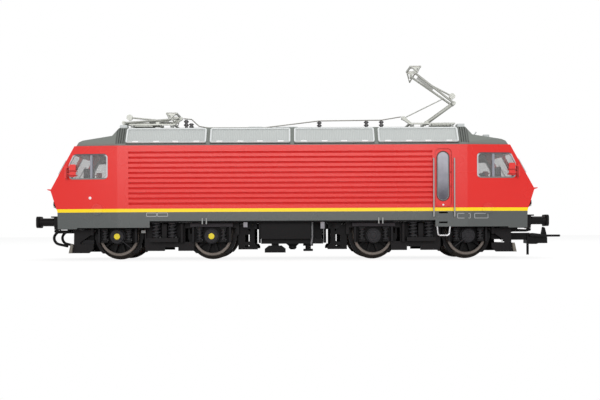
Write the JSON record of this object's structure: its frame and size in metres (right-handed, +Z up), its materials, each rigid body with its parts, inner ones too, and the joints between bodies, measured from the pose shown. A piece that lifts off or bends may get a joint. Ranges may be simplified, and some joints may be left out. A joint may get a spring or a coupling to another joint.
{
  "type": "scale model electric locomotive",
  "caption": "H0 scale electric locomotive: box body with sloped cabs over swivelling bogies, folding pantographs on the roof and a loop coupler.",
  "frame": {"origin": "on the plane of the rail heads, midway between the rails and at the middle of the vehicle's length over buffers", "axes": "+X along the vehicle towards end 1, the end with the loop coupler; +Y to the left of a driver facing +X; +Z up"},
  "size_m": [0.1896, 0.0362, 0.0704],
  "materials": {
    "red_shell": "satin",
    "window_grey": "satin",
    "clear_glass": "gloss",
    "rail_grey": "satin",
    "bright_metal": "polished",
    "skirt_grey": "satin",
    "roof_grey": "satin",
    "grille_grey": "satin",
    "insulator_dark": "gloss",
    "line_metal": "satin",
    "cab_grey": "matte",
    "black_plastic": "satin",
    "weight_metal": "matte",
    "pantograph_metal": "satin",
    "wheel_metal": "satin"
  },
  "bodies": {
    "root": {"body_shell": "red_shell", "brake_hoses": "black_plastic", "buffer_beams": "black_plastic", "buffers": "black_plastic", "cab_interior_1": "cab_grey", "cab_interior_2": "cab_grey", "cab_roof_details": "grille_grey", "cab_side_glass": "clear_glass", "cab_window_frames": "window_grey", "coupler_mount": "black_plastic", "door_glass": "clear_glass", "door_handrails": "rail_grey", "door_stirrups": "bright_metal", "drawhook": "black_plastic", "filler_caps": "red_shell", "floor_plate": "black_plastic", "headlamps": "black_plastic", "motor_and_weight": "weight_metal", "nose_ledges": "red_shell", "pantograph_1_frame": "pantograph_metal", "pantograph_2_frame": "pantograph_metal", "roof": "roof_grey", "roof_boxes": "grille_grey", "roof_grilles": "grille_grey", "roof_insulators": "insulator_dark", "roof_line": "line_metal", "side_mirrors": "red_shell", "side_pipes": "black_plastic", "skirt_lugs": "skirt_grey", "transformer_box": "black_plastic", "underfloor_items": "black_plastic", "windscreens": "clear_glass", "wipers": "black_plastic"},
    "bogie_1": {"bogie_1_axle_covers": "black_plastic", "bogie_1_brakes": "black_plastic", "bogie_1_frame": "black_plastic", "bogie_1_plough": "black_plastic", "bogie_1_spring_brackets": "black_plastic", "bogie_1_springs": "black_plastic"},
    "wheelset_1_outer": {"wheelset_1_outer": "wheel_metal"},
    "wheelset_1_inner": {"wheelset_1_inner": "wheel_metal"},
    "pantograph_1_lower_arm": {"pantograph_1_lower_arm": "pantograph_metal"},
    "pantograph_1_upper_arm": {"pantograph_1_upper_arm": "pantograph_metal"},
    "pantograph_1_head": {"pantograph_1_head": "pantograph_metal"},
    "pantograph_1_rod": {"pantograph_1_rod": "pantograph_metal"},
    "bogie_2": {"bogie_2_axle_covers": "black_plastic", "bogie_2_brakes": "black_plastic", "bogie_2_frame": "black_plastic", "bogie_2_plough": "black_plastic", "bogie_2_spring_brackets": "black_plastic", "bogie_2_springs": "black_plastic"},
    "wheelset_2_outer": {"wheelset_2_outer": "wheel_metal"},
    "wheelset_2_inner": {"wheelset_2_inner": "wheel_metal"},
    "pantograph_2_lower_arm": {"pantograph_2_lower_arm": "pantograph_metal"},
    "pantograph_2_upper_arm": {"pantograph_2_upper_arm": "pantograph_metal"},
    "pantograph_2_head": {"pantograph_2_head": "pantograph_metal"},
    "pantograph_2_rod": {"pantograph_2_rod": "pantograph_metal"},
    "coupler": {"coupler": "black_plastic"},
    "coupler_bail": {"coupler_bail": "black_plastic"}
  },
  "joints": [
    {"name": "bogie_1_swivel", "type": "hinge", "parent": "root", "child": "bogie_1", "pos_m": [0.0454, 0, 0.0123], "axis": [0, 0, 1], "range_deg": [-8, 8]},
    {"name": "wheelset_1_outer_roll", "type": "hinge", "parent": "bogie_1", "child": "wheelset_1_outer", "pos_m": [0.0621, 0, 0.0071], "axis": [0, 1, 0], "continuous": true},
    {"name": "wheelset_1_inner_roll", "type": "hinge", "parent": "bogie_1", "child": "wheelset_1_inner", "pos_m": [0.0287, 0, 0.0071], "axis": [0, 1, 0], "continuous": true},
    {"name": "bogie_2_swivel", "type": "hinge", "parent": "root", "child": "bogie_2", "pos_m": [-0.0454, 0, 0.0123], "axis": [0, 0, 1], "range_deg": [-8, 8]},
    {"name": "wheelset_2_outer_roll", "type": "hinge", "parent": "bogie_2", "child": "wheelset_2_outer", "pos_m": [-0.0621, 0, 0.0071], "axis": [0, 1, 0], "continuous": true},
    {"name": "wheelset_2_inner_roll", "type": "hinge", "parent": "bogie_2", "child": "wheelset_2_inner", "pos_m": [-0.0287, 0, 0.0071], "axis": [0, 1, 0], "continuous": true},
    {"name": "pantograph_1_raise", "type": "hinge", "parent": "root", "child": "pantograph_1_lower_arm", "pos_m": [0.0492, 0, 0.04835], "axis": [0, -1, 0], "range_deg": [-32.4, 0]},
    {"name": "pantograph_1_knee", "type": "hinge", "parent": "pantograph_1_lower_arm", "child": "pantograph_1_upper_arm", "pos_m": [0.0598, 0, 0.05595], "axis": [0, -1, 0], "range_deg": [0, 66.4]},
    {"name": "pantograph_1_head_tilt", "type": "hinge", "parent": "pantograph_1_upper_arm", "child": "pantograph_1_head", "pos_m": [0.0451, 0, 0.0668], "axis": [0, -1, 0], "range_deg": [-34, 0]},
    {"name": "pantograph_1_rod_pivot", "type": "hinge", "parent": "root", "child": "pantograph_1_rod", "pos_m": [0.0413, 0, 0.05071], "axis": [0, -1, 0], "range_deg": [-31.27, 0]},
    {"name": "pantograph_2_raise", "type": "hinge", "parent": "root", "child": "pantograph_2_lower_arm", "pos_m": [-0.0492, 0, 0.04835], "axis": [0, 1, 0], "range_deg": [0, 32.4]},
    {"name": "pantograph_2_knee", "type": "hinge", "parent": "pantograph_2_lower_arm", "child": "pantograph_2_upper_arm", "pos_m": [-0.06222, 0, 0.04909], "axis": [0, 1, 0], "range_deg": [-66.4, 0]},
    {"name": "pantograph_2_head_tilt", "type": "hinge", "parent": "pantograph_2_upper_arm", "child": "pantograph_2_head", "pos_m": [-0.04398, 0, 0.05002], "axis": [0, 1, 0], "range_deg": [0, 34]},
    {"name": "pantograph_2_rod_pivot", "type": "hinge", "parent": "root", "child": "pantograph_2_rod", "pos_m": [-0.0413, 0, 0.05071], "axis": [0, 1, 0], "range_deg": [0, 31.27]},
    {"name": "coupler_swing", "type": "hinge", "parent": "root", "child": "coupler", "pos_m": [0.079, 0, 0.0068], "axis": [0, 0, 1], "range_deg": [-15, 15]},
    {"name": "coupler_bail_lift", "type": "hinge", "parent": "coupler", "child": "coupler_bail", "pos_m": [0.0876, 0, 0.0068], "axis": [0, -1, 0], "range_deg": [0, 25]}
  ],
  "couplings": [
    {"joint": "pantograph_1_knee", "follows": "pantograph_1_raise", "ratio": -2.034},
    {"joint": "pantograph_1_head_tilt", "follows": "pantograph_1_raise", "ratio": 1.034},
    {"joint": "pantograph_1_rod_pivot", "follows": "pantograph_1_raise", "ratio": 0.94985},
    {"joint": "pantograph_2_knee", "follows": "pantograph_2_raise", "ratio": -2.034},
    {"joint": "pantograph_2_head_tilt", "follows": "pantograph_2_raise", "ratio": 1.034},
    {"joint": "pantograph_2_rod_pivot", "follows": "pantograph_2_raise", "ratio": 0.94985}
  ]
}
